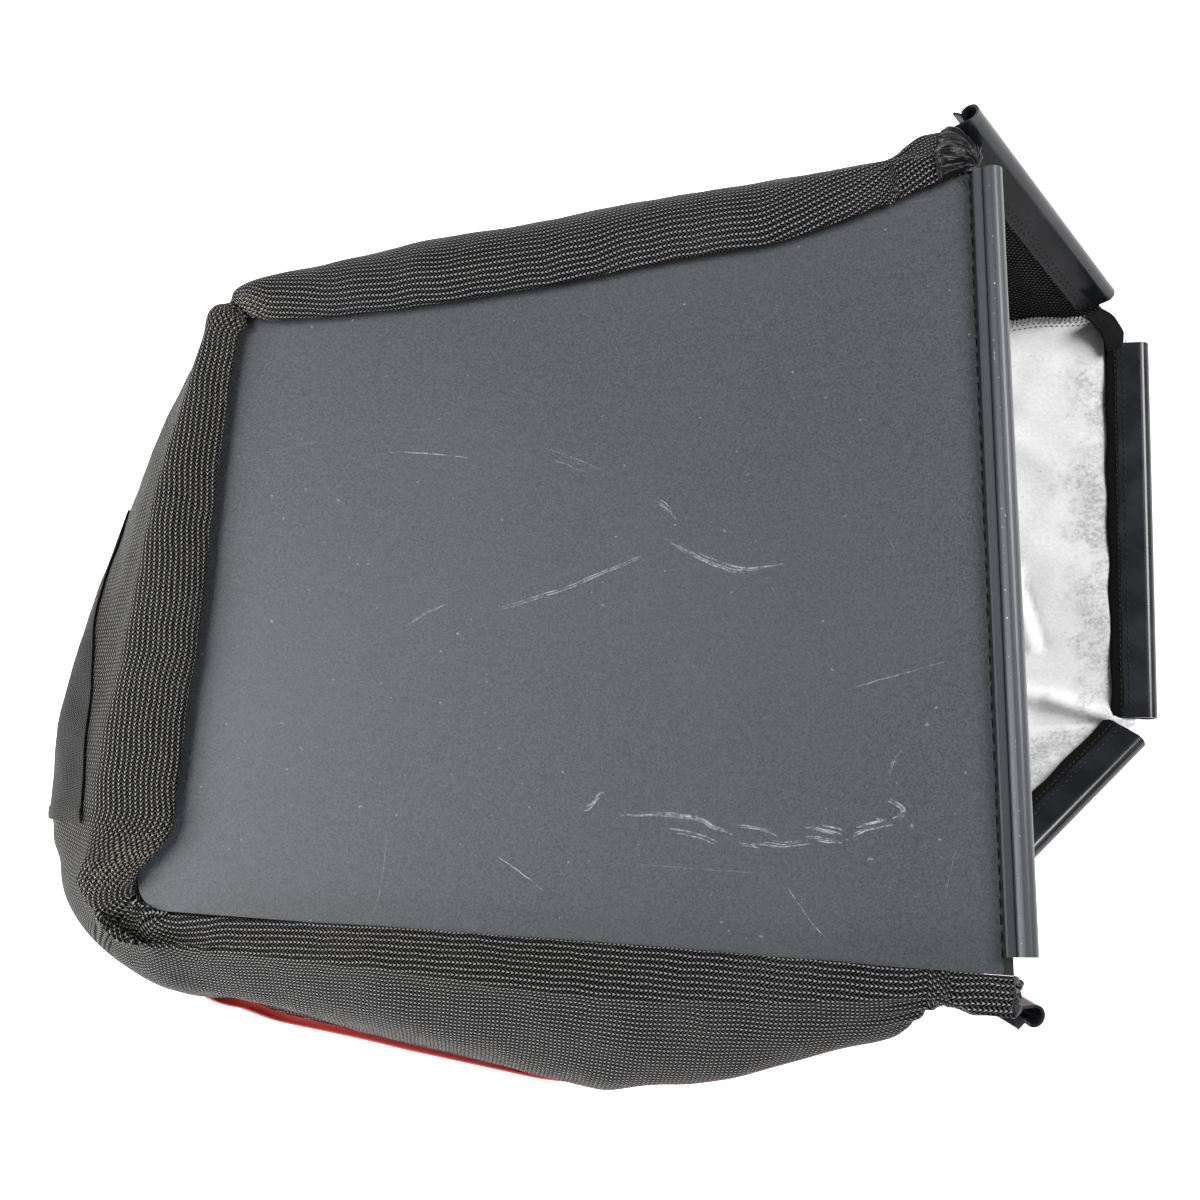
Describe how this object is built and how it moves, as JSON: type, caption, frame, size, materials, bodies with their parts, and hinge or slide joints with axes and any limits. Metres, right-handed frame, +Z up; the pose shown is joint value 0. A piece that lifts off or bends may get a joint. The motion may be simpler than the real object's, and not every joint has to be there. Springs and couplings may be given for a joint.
{
  "type": "grass collection bag",
  "caption": "Fabric grass collection bag with a stiff floor plate, mesh walls, a lined top cover with one slanted corner and push-on clip strips round its mouth.",
  "frame": {"origin": "middle of the bounding box's base, on the ground under the top cover that the bag lies on", "axes": "+X towards the mouth, +Z up out of the floor plate, which lies on top; +Y towards the long wall"},
  "size_m": [0.6874, 0.541, 0.2244],
  "materials": {
    "plate": "fine grained, satin",
    "clip": "extruded, glossy",
    "mesh": "coarse open mesh, black",
    "red_cover": "plain woven, red",
    "lining": "non-woven, soiled white",
    "tape": "woven tape, black"
  },
  "bodies": {
    "root": {"floor_plate": "plate", "mesh_wall_long_side": "mesh", "mesh_wall_back": "mesh", "mesh_wall_short_side": "mesh", "back_patch": "mesh", "top_cover": "red_cover", "top_lining": "lining", "clip_floor_edge": "clip", "clip_long_side": "clip", "clip_short_side": "clip", "clip_top_edge": "clip", "clip_diagonal": "clip", "binding_top_edge": "tape", "binding_diagonal": "tape", "binding_corner": "tape", "corner_tab_long_side": "tape", "corner_tab_short_side": "tape"}
  },
  "joints": []
}
